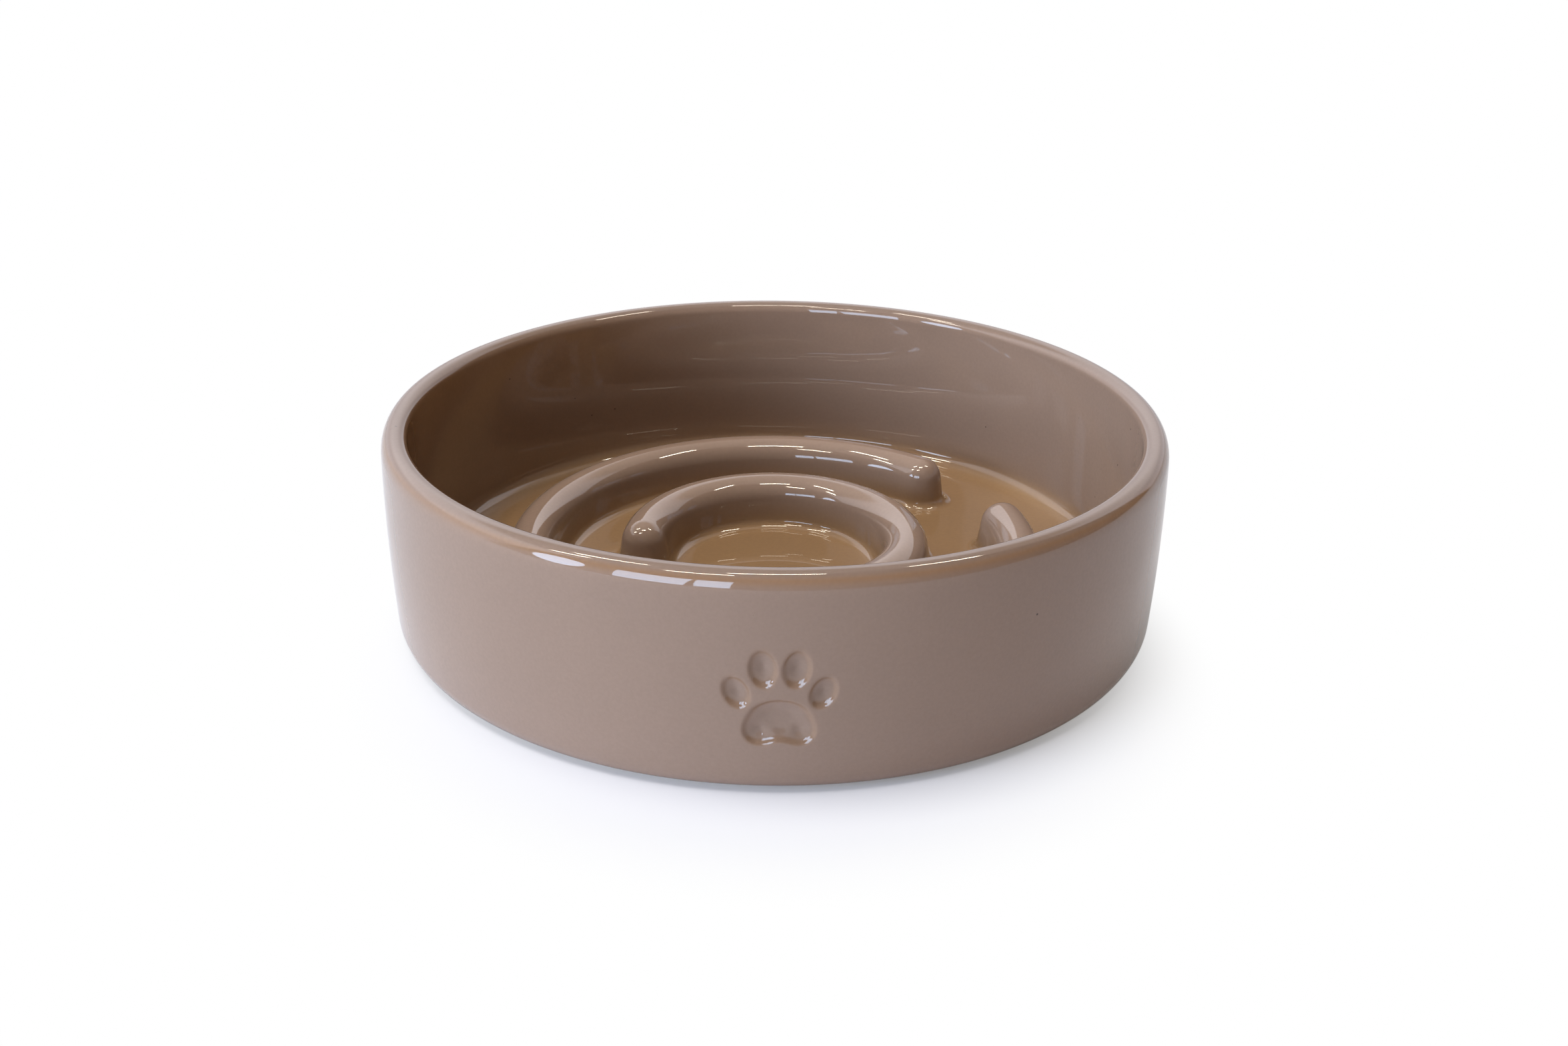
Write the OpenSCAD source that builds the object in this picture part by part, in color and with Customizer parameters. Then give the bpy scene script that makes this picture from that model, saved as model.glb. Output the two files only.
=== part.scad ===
// Slow feeder bowl of glazed stoneware: a round bowl with two C-shaped ridges on its floor.
// The origin is at the centre of the foot, on the ground. The front of the bowl faces -Y.

/* [Bowl] */
// Greatest outside diameter, over the glaze
bowl_d = 200; // [180:1:260]
// Height from the ground to the top of the lip
bowl_h = 53; // [42:1:80]
// Thickness of the full-round lip, over the glaze
lip_t = 6.5; // [5:0.25:9]
// Height at which the wall is widest
belly_z = 36; // [24:1:40]
// How far the wall draws in from its widest height to the ground
draw_in = 1.3; // [0.2:0.1:4]
// Lean of the inside of the wall, in degrees
inside_lean = 1; // [0:0.25:4]
// Height of the eating floor
floor_z = 7; // [6:0.25:9]
// Radius of the fillet between the floor and the wall
wall_fillet = 5; // [2:0.5:8]
// Radius of the rounding under the wall
base_round = 5.5; // [3.5:0.25:8]

/* [Foot] */
// Width of the bare ring that the bowl stands on
foot_w = 5; // [3:0.25:9]
// Height of the hollow under the floor
recess_h = 1.8; // [1.4:0.1:2.5]
// Radius of the fillet inside the foot
recess_fillet = 1; // [0.4:0.1:1.2]
// Rounding of the foot's inner edge
foot_round = 0.3; // [0.1:0.1:0.5]

/* [Ridges] */
// Height of the ridges' crests above the ground
ridge_top = 20.3; // [17:0.1:28]
// Radius of the full-round crest, which is half the ridge's width
crest_r = 6; // [4:0.25:7]
// Draft of the ridges' flanks, in degrees
ridge_draft = 8; // [2:0.5:12]
// Radius of the fillet at the foot of the ridges
ridge_fillet = 3; // [1:0.25:4]
// Clear width of the channel between the wall and the outer ridge
outer_channel_w = 22.3; // [16:0.1:26]
// Clear width of the channel between the two ridges
inner_channel_w = 17.5; // [12:0.1:20]
// Clear width of the gap between the rounded ends of a ridge
gap_w = 27; // [16:0.5:32]
// Direction of the outer ridge's gap, in degrees; the inner ridge's gap is opposite
gap_az = 31.5; // [0:0.5:360]

/* [Glaze] */
// Thickness of the glaze
glaze_t = 0.4; // [0.2:0.05:0.6]
// Height at which the glaze ends above the ground
glaze_end_z = 1; // [0.8:0.1:2]

/* [Hidden] */
$fn = 128;
// Facets of a turned profile: on its widest rounding, on each fillet and up the wall
lip_steps = 28;
arc_steps = 10;
wall_steps = 12;
// Surfaces that run into each other cross by this much, and never just touch
ease = 0.01;
// How much wider a ridge's round ends are than the ridge, so that they run into it with a clean edge
end_bulge = 0.15;
// Angle at which a ridge's fillet runs out into the floor
foot_meet_a = 20;

// Points of an arc about c, from one angle to another
function arc(c, r, from, to, steps = arc_steps) =
    [for (i = [0:steps]) let (a = from + (to - from)*i/steps) c + r*[cos(a), sin(a)]];

// Outside of the wall over the glaze: its radius at a height, and how far it leans out there, in degrees
function wall_r(z) = bowl_d/2 - draw_in*pow((belly_z - z)/belly_z, 2);
function wall_lean(z) = atan(2*draw_in*(belly_z - z)/pow(belly_z, 2));

// Rounding under the wall: its centre, and the height where the wall starts
base_c_z = base_round - glaze_t;
base_lean = wall_lean(base_c_z);
wall_z0 = base_c_z - base_round*sin(base_lean);
base_c_r = wall_r(wall_z0) - base_round*cos(base_lean);

// Lip: its centre, and the height where the wall ends
lip_r = lip_t/2;
lip_c_z = bowl_h - lip_r;
lip_lean = wall_lean(lip_c_z);
wall_z1 = lip_c_z - lip_r*sin(lip_lean);
lip_c_r = wall_r(wall_z1) - lip_r*cos(lip_lean);

// Inside of the wall: the length of its straight slope, and the centre of the fillet at its foot
slope_l = (lip_c_z + lip_r*sin(inside_lean) + wall_fillet*sin(inside_lean) - floor_z - wall_fillet)/cos(inside_lean);
fillet_c_r = lip_c_r - (lip_r + wall_fillet)*cos(inside_lean) - slope_l*sin(inside_lean);
fillet_c_z = floor_z + wall_fillet;

// Radius of the wall's inside face, over the glaze, level with the ridges' crests
inside_r = lip_c_r - lip_r - (lip_c_z - ridge_top)*tan(inside_lean);
outer_ridge_r = inside_r - outer_channel_w - crest_r;
inner_ridge_r = outer_ridge_r - inner_channel_w - 2*crest_r;

// Foot: the inner edge of the bare ring
foot_in_r = base_c_r - foot_w;

// Foot of a ridge's flank: where its fillet meets the floor, from the ridge's centre line
flank_l = (ridge_top - crest_r - floor_z - ridge_fillet + (crest_r + ridge_fillet)*sin(ridge_draft))/cos(ridge_draft);
ridge_foot_w = (crest_r + ridge_fillet)*cos(ridge_draft) + flank_l*sin(ridge_draft);

// Centres of the crest and of the fillets at a ridge's foot
crest_c_z = ridge_top - crest_r;
ridge_fillet_z = floor_z + ridge_fillet;

// Surfaces are drawn at a height s above the bare clay: 0 is the clay and glaze_t the face of the glaze

// Outside of the wall, upwards from its rounding
function outside_points(s) =
    [for (i = [1:wall_steps - 1]) let (z = wall_z0 + (wall_z1 - wall_z0)*i/wall_steps) [wall_r(z) - glaze_t + s, z]];

// Over the lip, down the inside and along the floor to the axis
function inside_points(s) = concat(
    arc([lip_c_r, lip_c_z], lip_r - glaze_t + s, -lip_lean, 180 - inside_lean, lip_steps),
    arc([fillet_c_r, fillet_c_z], wall_fillet + glaze_t - s, -inside_lean, -90),
    [[0, floor_z - glaze_t + s]]
);

// Rounding under the wall, from one angle to the wall
function base_points(s, from) = arc([base_c_r, base_c_z], base_round - glaze_t + s, from, -base_lean);

// Under the bowl: the hollow, its fillet and the inner edge of the foot
function under_points() = concat(
    [[0, recess_h]],
    arc([foot_in_r - recess_fillet, recess_h - recess_fillet], recess_fillet, 90, 0),
    arc([foot_in_r + foot_round, foot_round], foot_round, 180, 270)
);

// Angle on the rounding at which the glaze ends, at a height s above the clay
function glaze_end_a(s) = asin((glaze_end_z - base_c_z)/(base_round - glaze_t + s));

// A ridge's section, down to the clay of the floor, and wider by a bulge where it makes a round end
module ridge_section(s, bulge = 0) {
    crest = crest_r - glaze_t + s + bulge;
    fillet_r = ridge_fillet + glaze_t - s;
    fillet_w = ridge_foot_w + bulge/cos(ridge_draft);
    side_w = fillet_w - fillet_r*sin(foot_meet_a/2);
    base = floor_z - glaze_t;
    draft_dir = [cos(ridge_draft), sin(ridge_draft)];
    shoulder = [0, crest_c_z] + (crest - ease)*draft_dir;
    flank_foot = [fillet_w, ridge_fillet_z] - (fillet_r + ease)*draft_dir;
    difference() {
        union() {
            intersection() {
                translate([0, crest_c_z]) circle(r = crest);
                translate([-crest, crest_c_z]) square([2*crest, crest]);
            }
            polygon([
                shoulder, flank_foot, [side_w, ridge_fillet_z], [side_w, base],
                [-side_w, base], [-side_w, ridge_fillet_z], flip(flank_foot), flip(shoulder)
            ]);
        }
        for (side = [-1, 1])
            translate([side*fillet_w, ridge_fillet_z - fillet_r*(1 - cos(foot_meet_a))]) circle(r = fillet_r);
    }
}
function flip(point) = [-point[0], point[1]];

// A C-shaped ridge: r is the radius of its centre line, az the direction of its gap
module ridge(r, az, s = 0) {
    half_gap = asin((gap_w/2 + crest_r)/r);
    rotate([0, 0, az + half_gap]) {
        rotate_extrude(angle = 360 - 2*half_gap) translate([r, 0]) ridge_section(s);
        for (turn = [0, 360 - 2*half_gap])
            rotate([0, 0, turn]) translate([r, 0, 0]) ridge_end(s);
    }
}

// The round end of a ridge
module ridge_end(s) {
    rotate_extrude() intersection() {
        ridge_section(s, end_bulge);
        square([2*ridge_foot_w, 2*ridge_top]);
    }
}

module both_ridges(s) {
    ridge(outer_ridge_r, gap_az, s);
    ridge(inner_ridge_r, gap_az + 180, s);
}

// The cast wall and floor, with the foot ring that stays bare
module stoneware_shell() {
    color([0.84, 0.78, 0.70])
        rotate_extrude()
            polygon(concat(under_points(), base_points(0, -90), outside_points(0), inside_points(0)));
}

module outer_ridge() {
    color([0.80, 0.73, 0.64]) ridge(outer_ridge_r, gap_az);
}

module inner_ridge() {
    color([0.80, 0.73, 0.64]) ridge(inner_ridge_r, gap_az + 180);
}

// The skin of glaze over the wall, the floor and the ridges
module glaze_coat() {
    color([0.60, 0.52, 0.47])
        difference() {
            union() {
                rotate_extrude() polygon(coat_points());
                both_ridges(glaze_t);
            }
            both_ridges(0);
        }
}

// Section of the coat: out along the glaze's face to the axis, and back along the clay
function coat_points() = concat(
    base_points(glaze_t, glaze_end_a(glaze_t)),
    outside_points(glaze_t),
    inside_points(glaze_t),
    reverse(inside_points(0)),
    reverse(outside_points(0)),
    reverse(base_points(0, glaze_end_a(0)))
);
function reverse(list) = [for (i = [len(list) - 1:-1:0]) list[i]];

// The patch of glaze in the hollow under the floor
module base_glaze() {
    color([0.56, 0.48, 0.43])
        translate([0, 0, recess_h - glaze_t]) cylinder(r = foot_in_r - recess_fillet, h = glaze_t);
}

stoneware_shell();
outer_ridge();
inner_ridge();
glaze_coat();
base_glaze();
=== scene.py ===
import math
import bpy
import numpy as np
from mathutils import Matrix, Vector
from mathutils.geometry import delaunay_2d_cdt


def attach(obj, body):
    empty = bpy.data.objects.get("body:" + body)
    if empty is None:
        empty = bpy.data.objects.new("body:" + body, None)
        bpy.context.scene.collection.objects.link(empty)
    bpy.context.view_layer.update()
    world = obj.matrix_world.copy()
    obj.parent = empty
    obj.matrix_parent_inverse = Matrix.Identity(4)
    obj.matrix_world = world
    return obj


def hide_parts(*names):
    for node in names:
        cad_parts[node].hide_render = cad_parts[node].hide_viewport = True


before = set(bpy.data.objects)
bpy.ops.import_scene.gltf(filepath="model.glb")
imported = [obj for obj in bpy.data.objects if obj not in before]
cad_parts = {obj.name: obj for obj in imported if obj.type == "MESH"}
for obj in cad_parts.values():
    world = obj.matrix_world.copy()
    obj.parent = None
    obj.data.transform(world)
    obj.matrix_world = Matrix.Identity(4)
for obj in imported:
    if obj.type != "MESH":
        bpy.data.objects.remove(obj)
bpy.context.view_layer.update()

# Camera
# It stands about 45 cm in front of the bowl and looks down on it at 24 degrees, with a slight roll.
# The focal length is in pixels of the full photograph, which is 2351 pixels wide.
photo_width_px = 2351
focal_px = 2546.0
sensor_width_mm = 36
nearest_seen_m = 0.01
camera_pitch = math.radians(23.921)
camera_roll = math.radians(0.761)
camera_distance = 0.450763
camera_target = Vector((0.002441, 0, 0.020627))
camera_forward = Vector((0, math.cos(camera_pitch), -math.sin(camera_pitch)))
camera_upward = Vector((0, math.sin(camera_pitch), math.cos(camera_pitch)))
camera_data = bpy.data.cameras.new("photograph_camera")
camera_data.sensor_fit = "HORIZONTAL"
camera_data.sensor_width = sensor_width_mm
camera_data.lens = focal_px/photo_width_px*sensor_width_mm
camera_data.clip_start = nearest_seen_m
camera = bpy.data.objects.new("photograph_camera", camera_data)
bpy.context.scene.collection.objects.link(camera)
camera_turn = Matrix((Vector((1, 0, 0)), camera_upward, -camera_forward)).transposed().to_4x4()
camera_place = Matrix.Translation(camera_target - camera_forward*camera_distance)
camera.matrix_world = camera_place @ camera_turn @ Matrix.Rotation(camera_roll, 4, "Z")
bpy.context.scene.camera = camera

# Clay body
# The bowl is slip cast in one piece from buff stoneware: wall, floor and the two C-shaped ridges.
# It is sponged smooth, then glazed all over but for the ring that it stands on.

# The wall and the lip in millimetres, over the glaze. On its outer side the lip is a taller round
MM = 0.001
bowl_r = 100
bowl_h = 53
belly_z = 36
draw_in = 1.3
lip_r = 3.25
lip_shoulder_h = 5
lip_inner_power = 2.5
inside_lean = math.radians(1)

# The floor, and the foot ring round a shallow hollow
floor_z = 7
wall_fillet = 5
base_round = 5.5
foot_w = 5
foot_edge_r = 0.3
recess_h = 1.8
recess_fillet = 1

# The glaze on the clay, which ends a little above the table
glaze_t = 0.4
glaze_end_z = 1

# The ridges, the channels between them and the gap in each
ridge_top = 20.3
crest_r = 6
ridge_draft = math.radians(8)
ridge_fillet = 3
outer_channel_w = 22.3
inner_channel_w = 17.5
gap_w = 27
gap_azimuth = math.radians(31.5)


def wall_radius(z):
    """Outside of the wall, which draws in below and above its belly."""
    return bowl_r - draw_in*((belly_z - z)/belly_z)**2


def wall_lean(z):
    """How far the outside of the wall leans from upright."""
    return math.atan(2*draw_in*(belly_z - z)/belly_z**2)


# Middles of the roundings in the bowl's profile, from the base over the lip to the floor
base_c_z = base_round - glaze_t
base_lean = wall_lean(base_c_z)
wall_foot_z = base_c_z - base_round*math.sin(base_lean)
base_c_r = wall_radius(wall_foot_z) - base_round*math.cos(base_lean)
foot_in_r = base_c_r - foot_w
lip_c_z = bowl_h - lip_r
lip_lean = wall_lean(lip_c_z)
wall_head_z = lip_c_z - lip_r*math.sin(lip_lean)
lip_c_r = wall_radius(wall_head_z) - lip_r*math.cos(lip_lean)
slope_rise = lip_c_z - floor_z - wall_fillet + (lip_r + wall_fillet)*math.sin(inside_lean)
slope_l = slope_rise/math.cos(inside_lean)
fillet_c_r = lip_c_r - (lip_r + wall_fillet)*math.cos(inside_lean) - slope_l*math.sin(inside_lean)
fillet_c_z = floor_z + wall_fillet

# Where the ridges stand, and their section from the fillet at the floor to the round crest
inside_r = lip_c_r - lip_r - (lip_c_z - ridge_top)*math.tan(inside_lean)
outer_ridge_r = inside_r - outer_channel_w - crest_r
inner_ridge_r = outer_ridge_r - inner_channel_w - 2*crest_r
crest_c_z = ridge_top - crest_r
ridge_fillet_z = floor_z + ridge_fillet
flank_rise = crest_c_z - ridge_fillet_z + (crest_r + ridge_fillet)*math.sin(ridge_draft)
flank_l = flank_rise/math.cos(ridge_draft)
ridge_foot_w = (crest_r + ridge_fillet)*math.cos(ridge_draft) + flank_l*math.sin(ridge_draft)

# The paw print pressed into the front: its place, and its pads as centre, half sizes and tilt
print_azimuth = math.radians(-88.84)
print_z = 23.4
print_reach = 16
print_half_h = 15.2
print_low_z = print_z - print_half_h
print_high_z = print_z + print_half_h
print_pads = (
    (0.0, -4.6, 6.7, 4.9, 0.0),
    (-4.1, -7.0, 3.6, 3.3, 0.35),
    (4.1, -7.0, 3.6, 3.3, -0.35),
    (-9.3, 2.2, 2.6, 3.6, 0.42),
    (-3.6, 7.9, 2.8, 4.1, 0.12),
    (3.6, 7.9, 2.8, 4.1, -0.12),
    (9.3, 2.2, 2.6, 3.6, -0.42),
)
heel_pads = 3
pad_blend = 1.6

# Each pad goes in with a short rounded edge, and deepens towards its middle like a thumb's mark
print_depth = 0.75
print_edge_w = 1.1
print_dish = 0.85
print_dish_w = 3.3

# In the clay the pads are this much larger all round, so that the glaze has room in them
print_grow = 0.1

# Of the whole bowl, only the outside of the wall is further out than this
outside_r = bowl_r - 3
print_margin = 1


def print_distance(x, y):
    """Distance from the edge of the nearest pad, less than zero inside it."""
    pads = []
    for cx, cy, half_w, half_h, tilt in print_pads:
        dx = (x - cx)*math.cos(tilt) + (y - cy)*math.sin(tilt)
        dy = (y - cy)*math.cos(tilt) - (x - cx)*math.sin(tilt)
        pads.append((np.hypot(dx/half_w, dy/half_h) - 1)*min(half_w, half_h))
    heel = pads[0]
    for pad in pads[1:heel_pads]:
        mix = np.clip(0.5 + 0.5*(pad - heel)/pad_blend, 0, 1)
        heel = pad*(1 - mix) + heel*mix - pad_blend*mix*(1 - mix)
    return np.minimum.reduce([heel, *pads[heel_pads:]])


def ease_step(x):
    """A smooth step from 0 to 1."""
    x = np.clip(x, 0, 1)
    return x*x*(3 - 2*x)


def around(angle):
    """An angle brought to between -pi and pi."""
    return (angle + math.pi) % (2*math.pi) - math.pi


def print_edge(azimuth, z):
    """Distance from the edge of the print at places on the outside of the wall."""
    x = around(azimuth - print_azimuth)*bowl_r
    return print_distance(np.clip(x, -print_reach, print_reach), z - print_z)


def pressed(azimuth, z, grow):
    """How deep the print goes at places on the outside of the wall, with its pads grown a little."""
    edge = print_edge(azimuth, z) - grow
    return print_depth*ease_step(0.5 - edge/print_edge_w) + print_dish*ease_step(-edge/print_dish_w)


def arc_points(centre, r, start, end, steps):
    """Points along an arc of the profile."""
    a = np.linspace(start, end, steps + 1)
    return np.stack([centre[0] + r*np.cos(a), centre[1] + r*np.sin(a)], 1)


# Rows of the mesh below and above the print, and their distance from the roundings
low_row_h = 1.2
high_row_h = 1.6
low_row_gap = 0.8
high_row_gap = 0.6


def wall_points(over, print_step):
    """Outside of the wall upwards, so far over the clay, with close rows where the print is."""
    low = np.arange(wall_foot_z + low_row_gap, print_low_z, low_row_h)
    middle = np.arange(print_low_z, print_high_z, print_step)
    high = np.arange(print_high_z, bowl_h - lip_shoulder_h - high_row_gap, high_row_h)
    z = np.concatenate([low, middle, high])
    return np.stack([wall_radius(z) - glaze_t + over, z], 1)


def inside_points(over, lip_steps):
    """Over the lip, down the inside of the wall and round to the floor, so far over the clay."""
    top_r = lip_r - glaze_t + over
    lip = arc_points((lip_c_r, lip_c_z), top_r, -lip_lean, math.pi - inside_lean, lip_steps)
    above = lip[:, 1] - lip_c_z
    outer = lip[:, 0] > lip_c_r
    stretch = (lip_shoulder_h - glaze_t + over)/top_r
    lip[outer, 1] = bowl_h - lip_shoulder_h + above[outer]*stretch
    way = (lip[~outer] - (lip_c_r, lip_c_z))/top_r
    fuller = (np.abs(way)**lip_inner_power).sum(1, keepdims=True)**(-1/lip_inner_power)
    lip[~outer] = (lip_c_r, lip_c_z) + way*fuller*top_r
    turn_steps = lip_steps//3
    turn_r = wall_fillet + glaze_t - over
    turn = arc_points((fillet_c_r, fillet_c_z), turn_r, -inside_lean, -math.pi/2, turn_steps)
    t = np.linspace(0, 1, turn_steps + 1)[1:-1, None]
    slope = lip[-1]*(1 - t) + turn[0]*t
    return np.concatenate([lip, slope, turn])


# Rows of the mesh on the straight flank of a ridge
flank_steps = 4


def ridge_rows(over, steps):
    """A ridge's section from its foot to its crest: distance from its middle, and height."""
    fillet_r = ridge_fillet + glaze_t - over
    top_r = crest_r - glaze_t + over
    foot = arc_points((ridge_foot_w, ridge_fillet_z), fillet_r, 1.5*math.pi, math.pi + ridge_draft, steps)
    top = arc_points((0, crest_c_z), top_r, ridge_draft, math.pi/2, steps + 2)
    t = np.linspace(0, 1, flank_steps + 1)[1:-1, None]
    flank = foot[-1]*(1 - t) + top[0]*t
    rows = np.concatenate([foot, flank, top])
    rows[-1, 0] = 0
    return rows


def ridge_columns(r, azimuth, step):
    """The closed way round a C-shaped ridge: points of its centre line, and the direction away from it."""
    half_gap = math.asin((gap_w/2 + crest_r)/r)
    count = round(r*(2*math.pi - 2*half_gap)/step)
    run = np.linspace(azimuth + half_gap, azimuth + 2*math.pi - half_gap, count + 1)
    turn = np.linspace(0, math.pi, round(math.pi*crest_r/step) + 1)[1:-1]
    along = np.concatenate([run, np.full(len(turn), run[-1]), run[::-1], np.full(len(turn), run[0])])
    away = np.concatenate([run, run[-1] + turn, run[::-1] + math.pi, run[0] + math.pi + turn])
    centre = r*np.stack([np.cos(along), np.sin(along)], 1)
    return centre, np.stack([np.cos(away), np.sin(away)], 1)


# Columns of the mesh round the bowl, closer together across the print
print_sector = math.radians(9)
print_count = 91
rest_count = 241
print_start = print_azimuth - print_sector
print_end = print_azimuth + print_sector
print_columns = np.linspace(print_start, print_end, print_count)
rest_columns = np.linspace(print_end, print_azimuth + 2*math.pi - print_sector, rest_count)
columns = np.concatenate([print_columns, rest_columns[1:-1]])

# How the glaze lies at each point, with painted light: pooled low down, thin over an edge, painted shade on
# the lip's crown, painted light on a ridge's crest
glaze_and_light_notes = ("pooled", "thin", "crown", "crest")
plain_lie = (0, 0, 0, 0)
pooled_lie = (1, 0, 0, 0)

# Points of two sheets that are this close are one
weld_mm = 1e-4


class Surface:
    """Collects sheets of points, and welds them where they meet."""

    def __init__(self):
        self.points = []
        self.faces = []
        self.lies = []

    def add(self, points, faces, lie_and_light):
        """Adds one sheet, with how the glaze lies on it and the light or shade painted on it."""
        start = sum(len(p) for p in self.points)
        self.points.append(points)
        self.faces += [[i + start for i in face] for face in faces]
        self.lies.append(np.broadcast_to(np.asarray(lie_and_light, float), (len(points), len(glaze_and_light_notes))))

    def add_grid(self, grid, lie_and_light, flipped=False):
        """Adds a sheet of rows that each close on themselves."""
        rows, count = grid.shape[:2]
        ids = np.arange(rows*count).reshape(rows, count)
        a, b = ids[:-1], ids[1:]
        quads = np.stack([a, np.roll(a, -1, 1), np.roll(b, -1, 1), b], -1).reshape(-1, 4)
        if flipped:
            quads = quads[:, ::-1]
        self.add(grid.reshape(-1, 3), quads.tolist(), lie_and_light)

    def build(self, name, material):
        """Welds the sheets into one piece with this finish."""
        points = np.concatenate(self.points)
        lies = np.concatenate(self.lies)
        keys = np.round(points/weld_mm).astype(np.int64)
        _, first, place = np.unique(keys, axis=0, return_index=True, return_inverse=True)
        place = place.reshape(-1)
        faces = []
        for face in self.faces:
            ids = [int(place[i]) for i in face]
            ids = [v for k, v in enumerate(ids) if v != ids[k - 1]]
            if len(ids) > 2:
                faces.append(ids)
        mesh = bpy.data.meshes.new(name)
        mesh.from_pydata((points[first]*MM).tolist(), [], faces)
        mesh.validate()
        for k, label in enumerate(glaze_and_light_notes):
            layer = mesh.attributes.new(label, "FLOAT", "POINT")
            layer.data.foreach_set("value", lies[first, k].astype(np.float32))
        mesh.shade_smooth()
        mesh.materials.append(material)
        piece = bpy.data.objects.new(name, mesh)
        bpy.context.scene.collection.objects.link(piece)
        return piece


def turned(profile, printed=False, grow=0):
    """Turns a profile about the bowl's axis, and presses the print into the outside of the wall."""
    r = np.repeat(profile[:, :1], len(columns), 1)
    z = np.repeat(profile[:, 1:], len(columns), 1)
    if printed:
        near_print = (r > outside_r) & (z > print_low_z - print_margin) & (z < print_high_z + print_margin)
        r = r - np.where(near_print, pressed(np.broadcast_to(columns, r.shape), z, grow), 0)
    return np.stack([r*np.cos(columns), r*np.sin(columns), z], -1)


# On a ridge the glaze pools up to this height over the floor, and from this far below the top the crest is
# painted paler, as painted light on it
ridge_pool_h = 8
crest_light_h = 4

# The distance between the floor's loose spots, and the play that its cutting allows
floor_spot_step = 4.0
foot_play = 0.2
cut_play = 1e-5


def ridged_floor(surface, over, steps, column_step, flipped=False):
    """Adds the floor with both ridges, inside the fillet at the foot of the wall."""
    loops = [fillet_c_r*np.stack([np.cos(columns), np.sin(columns)], 1)]
    spines = []
    for r, azimuth in ((outer_ridge_r, gap_azimuth), (inner_ridge_r, gap_azimuth + math.pi)):
        centre, away = ridge_columns(r, azimuth, column_step)
        rows = ridge_rows(over, steps)
        flat = centre[None] + rows[:, :1, None]*away[None]
        height = np.broadcast_to(rows[:, 1][:, None, None], flat.shape[:2] + (1,))
        pooled = 1 - ease_step((rows[:, 1] - floor_z)/ridge_pool_h)
        # Painted light: the ridge's crest is painted paler towards its top
        pale = ease_step((rows[:, 1] - ridge_top + crest_light_h)/crest_light_h)
        lie_and_light = np.stack([pooled, 0*pooled, 0*pooled, pale], 1)
        surface.add_grid(np.concatenate([flat, height], -1), np.repeat(lie_and_light, len(centre), 0), flipped)
        loops.append(flat[0])
        spines.append(centre)

    # The flat floor is cut to the feet of the ridges, with loose spots in between for even faces
    grid = np.arange(-fillet_c_r, fillet_c_r, floor_spot_step)
    spots = np.stack(np.meshgrid(grid, grid), -1).reshape(-1, 2)
    clear = np.hypot(spots[:, 0], spots[:, 1]) < fillet_c_r - floor_spot_step/2
    for centre in spines:
        gap = np.hypot(*(spots[:, None] - centre[None]).transpose(2, 0, 1)).min(1)
        clear &= gap > ridge_foot_w + floor_spot_step/2
    flat = np.concatenate(loops + [spots[clear]])
    edges = []
    start = 0
    for loop in loops:
        edges += [(start + i, start + (i + 1) % len(loop)) for i in range(len(loop))]
        start += len(loop)
    cut = delaunay_2d_cdt([Vector(p) for p in flat.tolist()], edges, [], 0, cut_play)
    cut_faces, cut_sources = cut[2:4]
    faces = []
    for face in cut_faces:
        ids = [cut_sources[i][0] for i in face]
        middle = flat[ids].mean(0)
        if all(np.hypot(*(middle - centre).T).min() > ridge_foot_w - foot_play for centre in spines):
            faces.append(ids[::-1] if flipped else ids)
    points = np.concatenate([flat, np.full((len(flat), 1), floor_z - glaze_t + over)], 1)
    surface.add(points, faces, pooled_lie)


def mottled(tree, scale, detail, most=1):
    """A noise at a scale in waves to the metre, whose usual 0.3 to 0.7 is stretched to 0 to most."""
    noise = tree.nodes.new("ShaderNodeTexNoise")
    noise.inputs["Scale"].default_value = scale
    noise.inputs["Detail"].default_value = detail
    place = tree.nodes.new("ShaderNodeTexCoord")
    tree.links.new(place.outputs["Object"], noise.inputs["Vector"])
    span = tree.nodes.new("ShaderNodeMapRange")
    span.inputs["From Min"].default_value = 0.3
    span.inputs["From Max"].default_value = 0.7
    span.inputs["To Max"].default_value = most
    tree.links.new(noise.outputs["Fac"], span.inputs["Value"])
    return span.outputs["Result"]


def mixed(tree, factor, a, b):
    """Mixes two colours, each a colour or another node's output."""
    node = tree.nodes.new("ShaderNodeMix")
    node.data_type = "RGBA"
    factor_socket, a_socket, b_socket = node.inputs[0], node.inputs[6], node.inputs[7]
    for socket, value in ((factor_socket, factor), (a_socket, a), (b_socket, b)):
        if isinstance(value, bpy.types.NodeSocket):
            tree.links.new(value, socket)
        else:
            socket.default_value = (*value, 1) if isinstance(value, tuple) else value
    return node.outputs[2]


def bumped(tree, height, distance, strength):
    """Raises the surface by a height of up to a distance in metres."""
    node = tree.nodes.new("ShaderNodeBump")
    node.inputs["Distance"].default_value = distance
    node.inputs["Strength"].default_value = strength
    tree.links.new(height, node.inputs["Height"])
    return node.outputs["Normal"]


def new_finish(name):
    """A material, its nodes and its shader."""
    finish = bpy.data.materials.new(name)
    finish.use_nodes = True
    return finish, finish.node_tree, finish.node_tree.nodes["Principled BSDF"]


# Matt buff clay with darker clouds and a fine sandy grain
clay_colour = (0.60, 0.49, 0.36)
clay_dark_colour = (0.50, 0.39, 0.28)
grain_colour = (0.2, 0.14, 0.1)
grain_strength = 0.25
clay, tree, shader = new_finish("bare_stoneware")
grain = mottled(tree, scale=1400, detail=4)
patches = mottled(tree, scale=70, detail=3)
body_colour = mixed(tree, patches, clay_colour, clay_dark_colour)
body_colour = mixed(tree, grain, body_colour, mixed(tree, grain_strength, body_colour, grain_colour))
tree.links.new(body_colour, shader.inputs["Base Color"])
tree.links.new(bumped(tree, grain, distance=0.00012, strength=0.7), shader.inputs["Normal"])
shader.inputs["Roughness"].default_value = 0.82
shader.inputs["Specular IOR Level"].default_value = 0.25

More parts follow.
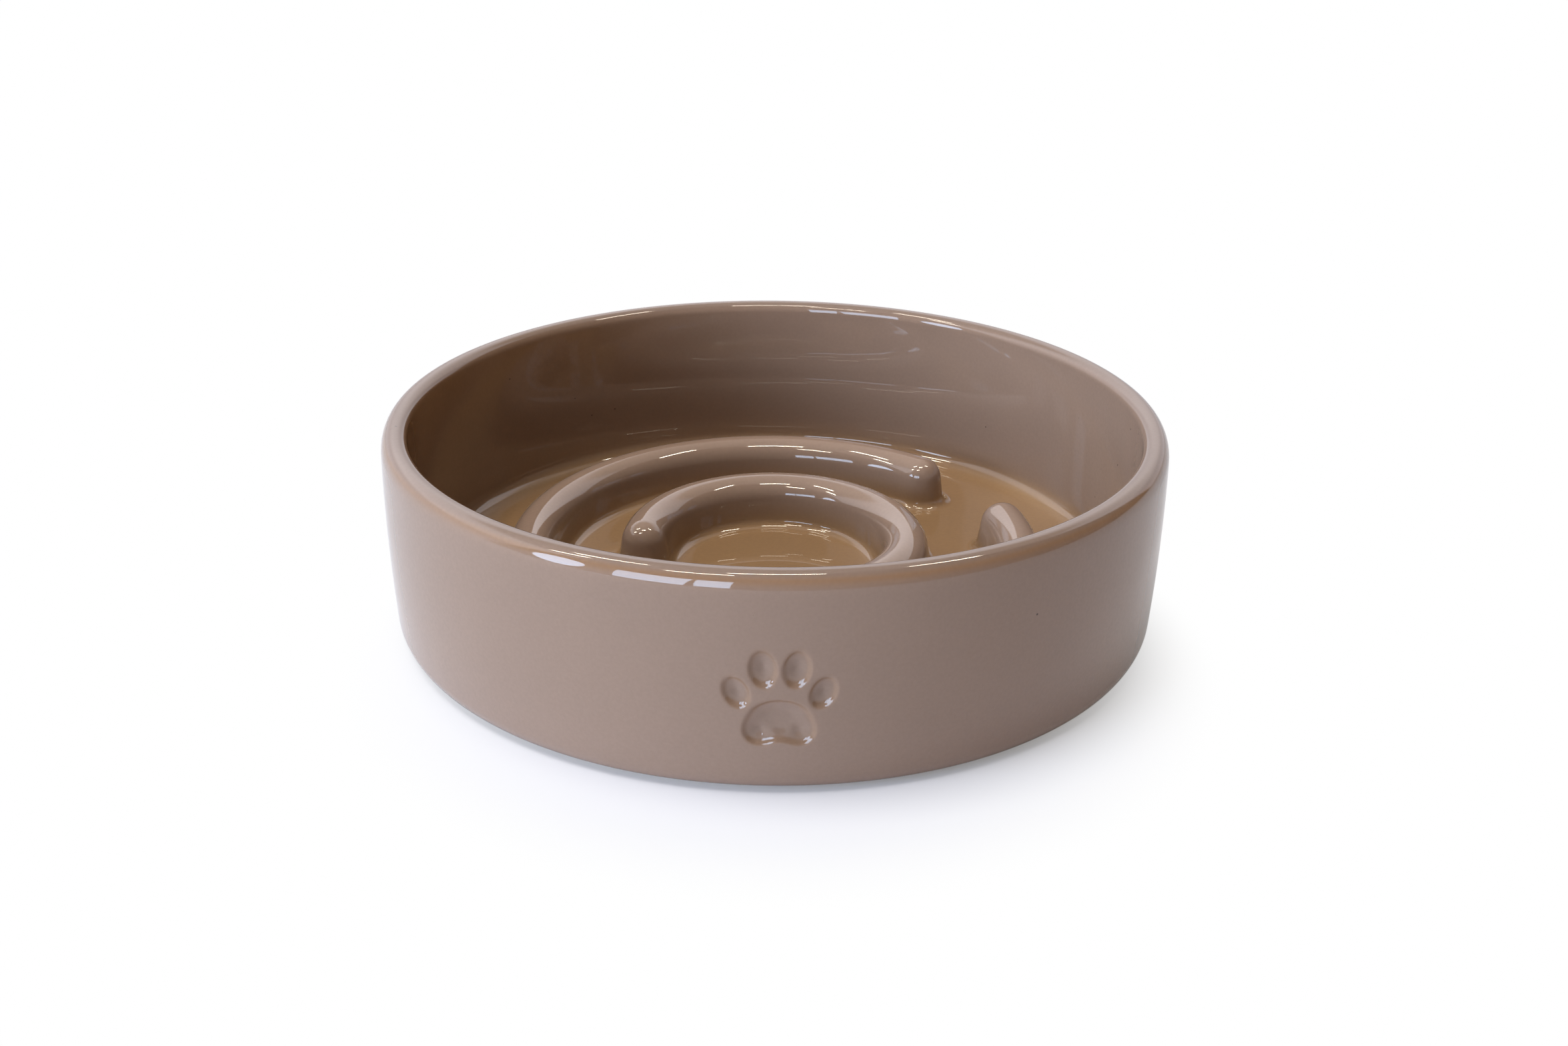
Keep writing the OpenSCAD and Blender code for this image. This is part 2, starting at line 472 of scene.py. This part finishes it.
# The profile runs from the middle of the hollow round the foot ring, up the wall and back to the floor
clay_round_r = base_round - glaze_t
glaze_end_angle = math.asin((glaze_end_z - base_c_z)/clay_round_r)
under = np.array([(0, recess_h), (foot_in_r/2, recess_h)])
hollow_c = (foot_in_r - recess_fillet, recess_h - recess_fillet)
hollow = arc_points(hollow_c, recess_fillet, math.pi/2, 0, steps=6)
foot_edge = arc_points((foot_in_r + foot_edge_r, foot_edge_r), foot_edge_r, math.pi, 1.5*math.pi, steps=4)
bare_round = arc_points((base_c_r, base_c_z), clay_round_r, -math.pi/2, glaze_end_angle, steps=6)
clay_round = arc_points((base_c_r, base_c_z), clay_round_r, glaze_end_angle, -base_lean, steps=6)
clay_profile = np.concatenate([under, hollow, foot_edge, bare_round, clay_round[1:],
                               wall_points(0, print_step=0.8), inside_points(0, lip_steps=15)])
body = Surface()
body.add_grid(turned(clay_profile, printed=True, grow=print_grow), plain_lie)
ridged_floor(body, 0, steps=4, column_step=2.4)
clay_body = body.build("clay_body", clay)
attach(clay_body, "root")
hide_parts("stoneware_shell", "outer_ridge", "inner_ridge")

# Glaze coat
# A glossy taupe glaze, dipped and fired, covers the wall, floor and ridges in one skin 0.4 mm thick.
# It turns golden where it pools, breaks warmer over the lip, and softens the print pressed into the front.
# Its colour also holds painted shade on the lip's crown and the print's edges, and painted light on the
# ridges' crests and the lip's left side
taupe = (0.305, 0.211, 0.160)
golden = (0.320, 0.193, 0.095)
# A warm break of the glaze, also used as painted shade along the print's edges
broken_and_shade = (0.290, 0.172, 0.100)
# Painted shade on the lip's crown
crown_shade_colour = (0.245, 0.172, 0.135)
# Painted light, paler on the ridges' crests
crest_light_colour = (0.355, 0.248, 0.190)
cloud_colour = (0.22, 0.15, 0.115)
fleck_colour = (0.12, 0.08, 0.06)
speck_colour = (0.05, 0.035, 0.03)
glaze, tree, shader = new_finish("taupe_glaze")
colour = taupe
for label, lie_colour in zip(glaze_and_light_notes, (golden, broken_and_shade, crown_shade_colour, crest_light_colour)):
    note = tree.nodes.new("ShaderNodeAttribute")
    note.attribute_name = label
    colour = mixed(tree, note.outputs["Fac"], colour, lie_colour)
colour = mixed(tree, mottled(tree, scale=38, detail=3, most=0.12), colour, cloud_colour)
colour = mixed(tree, mottled(tree, scale=1100, detail=2, most=0.09), colour, fleck_colour)

# Rare dark specks of iron in the clay show through the glaze
cells = tree.nodes.new("ShaderNodeTexVoronoi")
cells.inputs["Scale"].default_value = 80
place = tree.nodes.new("ShaderNodeTexCoord")
tree.links.new(place.outputs["Object"], cells.inputs["Vector"])
speck = tree.nodes.new("ShaderNodeMapRange")
for label, value in (("From Min", 0.016), ("From Max", 0.026), ("To Min", 0.8), ("To Max", 0.0)):
    speck.inputs[label].default_value = value
tree.links.new(cells.outputs["Distance"], speck.inputs["Value"])
colour = mixed(tree, speck.outputs["Result"], colour, speck_colour)
tree.links.new(colour, shader.inputs["Base Color"])
ripple = bumped(tree, mottled(tree, scale=45, detail=1), distance=0.00007, strength=0.5)
tree.links.new(ripple, shader.inputs["Normal"])
shader.inputs["Roughness"].default_value = 0.02
shader.inputs["IOR"].default_value = 1.56

# The skin ends above the bare foot in a bead, which swells to its full thickness over a few rows
bead_steps = 10
bead_swell_rows = 3
bead_clay = arc_points((base_c_r, base_c_z), clay_round_r, glaze_end_angle, -base_lean, bead_steps)
bead_full = arc_points((base_c_r, base_c_z), base_round, glaze_end_angle, -base_lean, bead_steps)
bead_way = np.clip(np.arange(bead_steps + 1)/bead_swell_rows, 0, 1)
bead = bead_clay + (bead_full - bead_clay)*np.sqrt(1 - (1 - bead_way)**2)[:, None]
face_profile = np.concatenate([bead, wall_points(glaze_t, print_step=0.45),
                               inside_points(glaze_t, lip_steps=30)])
face = turned(face_profile, printed=True)
z = face[..., 2]
r = np.hypot(face[..., 0], face[..., 1])
azimuth = np.broadcast_to(columns, z.shape)

# It is thin along the edges of the print, strengthened there as painted shade, and over the lip's shoulder,
# there less so on the left side as painted light
edge_break_and_shade = 0.6
edge_thin_middle = -0.1
edge_thin_spread = 0.6
edge = print_edge(azimuth, z)
on_print = (r > outside_r) & (z > print_low_z) & (z < print_high_z)
# Partly a real break of the glaze, partly painted shade that darkens the print's edges
print_break_and_shade = np.exp(-((edge - edge_thin_middle)/edge_thin_spread)**2)
print_break_and_shade = np.where(on_print, edge_break_and_shade*print_break_and_shade, 0)
lip_thin = 0.9
lip_thin_z = 51.4
lip_thin_spread = 0.9
lip_thin_w = 1.5
painted_light_left = 0.4
painted_light_left_start = 0.35
painted_light_left_run = 0.5
shoulder_thin = np.exp(-((z - lip_thin_z)/lip_thin_spread)**2)*ease_step((r - lip_c_r)/lip_thin_w)
# Painted light: on the left side the lip's darker break is weakened, so the lip is paler where daylight falls
shoulder_thin *= 1 - painted_light_left*ease_step((-np.cos(azimuth) - painted_light_left_start)/painted_light_left_run)

# It pools in the fillet at the foot of the wall inside. The lip's crown is painted a little darker, as
# painted shade on the top of the lip
wall_pool_h = 7
crown_h = 1.6
crown_blend = 1.2
fillet_pooled = np.where(r < lip_c_r, 1 - ease_step((z - floor_z)/wall_pool_h), 0)
# Painted shade: the lip's crown is painted darker
crown_shade = ease_step((z - bowl_h + crown_h)/crown_blend)
face_lie_and_light = np.stack([fillet_pooled, np.maximum(print_break_and_shade, lip_thin*shoulder_thin), crown_shade, 0*crown_shade], -1)
coat = Surface()
coat.add_grid(face, face_lie_and_light.reshape(-1, 4))
ridged_floor(coat, glaze_t, steps=8, column_step=1.6)

# The back of the skin lies on the clay
back_profile = np.concatenate([bead_clay, wall_points(0, print_step=1.2), inside_points(0, lip_steps=12)])
coat.add_grid(turned(back_profile, printed=True, grow=print_grow), plain_lie, flipped=True)
ridged_floor(coat, 0, steps=4, column_step=2.4, flipped=True)
glaze_skin = coat.build("glaze_skin", glaze)
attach(glaze_skin, "root")
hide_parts("glaze_coat")

# Glaze in the hollow
# The same glaze is brushed onto the underside of the floor, inside the ring that stays bare.
# It thins out to a round edge where the clay turns down to the foot.
patch_r = foot_in_r - recess_fillet
patch_edge_w = 1.2
patch_rings = 6
brushed_lie = (0.25, 0, 0, 0)
quarter_round = arc_points((0, 0), 1, 0, -math.pi/2, steps=6)
patch_edge = quarter_round*(patch_edge_w, glaze_t) + (patch_r - patch_edge_w, recess_h)
patch_face = np.array([(foot_in_r*k/patch_rings, recess_h - glaze_t) for k in reversed(range(patch_rings))])
patch_back = np.array([(foot_in_r*k/patch_rings, recess_h) for k in (0, 3, 5)])
patch = Surface()
patch.add_grid(turned(np.concatenate([patch_back, patch_edge, patch_face])), brushed_lie, flipped=True)
recess_glaze = patch.build("recess_glaze", glaze)
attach(recess_glaze, "root")
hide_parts("base_glaze")

# Table
# A sheet of white paper lies under the bowl and keeps its shadow, which its blue tint colours as painted
# shade.
# To the camera and to the glaze it turns plain white away from the bowl's front.
table_half = 4
table_corners = [(-table_half, -table_half, 0), (table_half, -table_half, 0),
                 (table_half, table_half, 0), (-table_half, table_half, 0)]
# The blue tint is painted shade for the paper's shadow
paper_and_blue_shade_colour = (0.76, 0.79, 0.90)
white_centre = Vector((0.002, -0.0295, 0))
white_start = 0.060
white_end = 0.111
least_white = 0.13
mirrored_white = 0.4
table_mesh = bpy.data.meshes.new("table")
table_mesh.from_pydata(table_corners, [], [(0, 1, 2, 3)])
table = bpy.data.objects.new("table", table_mesh)
bpy.context.scene.collection.objects.link(table)
sheet, tree, shader = new_finish("white_sheet")
shader.inputs["Base Color"].default_value = (*paper_and_blue_shade_colour, 1)
shader.inputs["Roughness"].default_value = 0.9
shader.inputs["Specular IOR Level"].default_value = 0.1
white = tree.nodes.new("ShaderNodeEmission")
place = tree.nodes.new("ShaderNodeTexCoord")
away = tree.nodes.new("ShaderNodeVectorMath")
away.operation = "DISTANCE"
away.inputs[1].default_value = white_centre
tree.links.new(place.outputs["Object"], away.inputs[0])
spread = tree.nodes.new("ShaderNodeMapRange")
spread.interpolation_type = "SMOOTHSTEP"
spread.inputs["From Min"].default_value = white_start
spread.inputs["From Max"].default_value = white_end
spread.inputs["To Min"].default_value = least_white
tree.links.new(away.outputs["Value"], spread.inputs["Value"])
ray = tree.nodes.new("ShaderNodeLightPath")
seen = tree.nodes.new("ShaderNodeMath")
seen.operation = "MULTIPLY_ADD"
seen.inputs[1].default_value = mirrored_white
tree.links.new(ray.outputs["Is Glossy Ray"], seen.inputs[0])
tree.links.new(ray.outputs["Is Camera Ray"], seen.inputs[2])
lift = tree.nodes.new("ShaderNodeMath")
lift.operation = "MULTIPLY"
tree.links.new(seen.outputs["Value"], lift.inputs[0])
tree.links.new(spread.outputs["Result"], lift.inputs[1])
blend = tree.nodes.new("ShaderNodeMixShader")
tree.links.new(lift.outputs["Value"], blend.inputs[0])
tree.links.new(shader.outputs["BSDF"], blend.inputs[1])
tree.links.new(white.outputs["Emission"], blend.inputs[2])
tree.links.new(blend.outputs["Shader"], tree.nodes["Material Output"].inputs["Surface"])
table_mesh.materials.append(sheet)

# Room
# It is plain white to the camera. The glaze mirrors it as pale beyond the bowl and dim elsewhere.
# Its light on the bowl is cool from the left, faint from the right, and warm low down on the right.
pale_left = (2.02, 1.95, 2.03)
pale_right = (1.58, 1.50, 1.54)
low_pale_side = (1.02, 0.98, 1.04)
ceiling_side = (0.90, 0.76, 0.66)
dim_side = (0.26, 0.20, 0.16)
left_fill = (0.28, 0.34, 0.45)
right_fill = (0.045, 0.030, 0.016)
right_glow = (1.10, 0.66, 0.20)
plain_white = (1.0, 1.0, 1.0)
leftward = (-1, 0, 0)
rightward = (1, 0, 0)
upward = (0, 0, 1)
beyond_bowl = (-0.4, 1, 0.5)
world = bpy.data.worlds.new("white_room")
world.use_nodes = True
bpy.context.scene.world = world
tree = world.node_tree
toward = tree.nodes.new("ShaderNodeTexCoord")


def room_step(direction, low, high):
    """Rises from 0 to 1 along a direction in the room."""
    along = tree.nodes.new("ShaderNodeVectorMath")
    along.operation = "DOT_PRODUCT"
    along.inputs[1].default_value = direction
    tree.links.new(toward.outputs["Generated"], along.inputs[0])
    step = tree.nodes.new("ShaderNodeMapRange")
    step.interpolation_type = "SMOOTHSTEP"
    step.inputs["From Min"].default_value = low
    step.inputs["From Max"].default_value = high
    tree.links.new(along.outputs["Value"], step.inputs["Value"])
    return step.outputs["Result"]


right_side = mixed(tree, room_step(upward, 0.08, 0.24), right_glow, right_fill)
lit_room = mixed(tree, room_step(leftward, -0.1, 0.9), right_side, left_fill)
pale_side = mixed(tree, room_step(rightward, -0.7, 0.4), pale_left, pale_right)
seen_room = mixed(tree, room_step(upward, 0.22, 0.42), low_pale_side, pale_side)
seen_room = mixed(tree, room_step(upward, 0.62, 0.74), seen_room, ceiling_side)
seen_room = mixed(tree, room_step(beyond_bowl, 0.24, 0.30), dim_side, seen_room)

# What the glaze mirrors directly is the seen room, and light that reaches a matt surface is the lit room's
half_bounce = 0.5
ray = tree.nodes.new("ShaderNodeLightPath")
first_look = tree.nodes.new("ShaderNodeMath")
first_look.operation = "LESS_THAN"
first_look.inputs[1].default_value = half_bounce
tree.links.new(ray.outputs["Diffuse Depth"], first_look.inputs[0])
mirrored = tree.nodes.new("ShaderNodeMath")
mirrored.operation = "MULTIPLY"
tree.links.new(ray.outputs["Is Glossy Ray"], mirrored.inputs[0])
tree.links.new(first_look.outputs["Value"], mirrored.inputs[1])
room = mixed(tree, mirrored.outputs["Value"], lit_room, seen_room)
room = mixed(tree, ray.outputs["Is Camera Ray"], room, plain_white)
tree.links.new(room, tree.nodes["Background"].inputs["Color"])

# Lamps
# Small warm lamps hang from the ceiling, and daylight comes through the window panes at the front left.
# The glaze mirrors both. Two broad lamps that it doesn't mirror stand for their soft light on the bowl.
warm_white = (1.0, 0.90, 0.74)
daylight = (0.60, 0.76, 1.0)
soft_blue = (0.72, 0.84, 1.0)
soft_cream = (1.0, 0.94, 0.86)

# Azimuth, height and distance of each ceiling lamp, and azimuth and width of each pane
ceiling_lamps = ((5, 64, 2.2), (-88, 79, 2.0), (-120, 60, 2.3), (178, 65, 2.2), (-164, 49, 2.6))
ceiling_lamp_size = (0.56, 0.11)
window_panes = ((-105.7, 0.41), (-122.2, 0.85), (-148.5, 0.66))
pane_h = 1.05


def lamp(name, azimuth, height, distance, size, radiance, colour, level=False):
    """A flat lamp at a direction in degrees and a distance, that faces the bowl or hangs level.

    Blender spreads an area lamp's power so that its radiance is a quarter of its power over its area.
    """
    width, depth = size
    data = bpy.data.lights.new(name, "AREA")
    data.shape = "RECTANGLE"
    data.size = width
    data.size_y = depth
    data.energy = 4*radiance*width*depth
    data.color = colour
    light = bpy.data.objects.new(name, data)
    bpy.context.scene.collection.objects.link(light)
    side = math.radians(azimuth)
    rise = math.radians(height)
    away = Vector((math.cos(rise)*math.cos(side), math.cos(rise)*math.sin(side), math.sin(rise)))
    turn = Matrix.Identity(4) if level else away.to_track_quat("Z", "Y").to_matrix().to_4x4()
    light.matrix_world = Matrix.Translation(away*distance) @ turn
    light.visible_camera = False
    return light


for k, (azimuth, height, distance) in enumerate(ceiling_lamps, 1):
    strip = lamp(f"ceiling_lamp_{k}", azimuth, height, distance, ceiling_lamp_size, radiance=34,
                 colour=warm_white, level=True)
    strip.visible_diffuse = False
for k, (azimuth, width) in enumerate(window_panes, 1):
    pane = lamp(f"window_pane_{k}", azimuth, height=14.5, distance=2.5, size=(width, pane_h), radiance=7.0,
                colour=daylight)
    pane.visible_diffuse = False

# The last pane's reflection has round ends
pane.data.shape = "ELLIPSE"
soft_daylight = lamp("soft_daylight", azimuth=-150, height=13, distance=2.5, size=(1.3, 0.8), radiance=13.9,
                     colour=soft_blue)
soft_daylight.visible_glossy = False
soft_ceiling = lamp("soft_ceiling", azimuth=-160, height=78, distance=2.4, size=(1.2, 1.2), radiance=8.5,
                    colour=soft_cream)
soft_ceiling.visible_glossy = False

bpy.context.scene.view_settings.view_transform = "Standard"
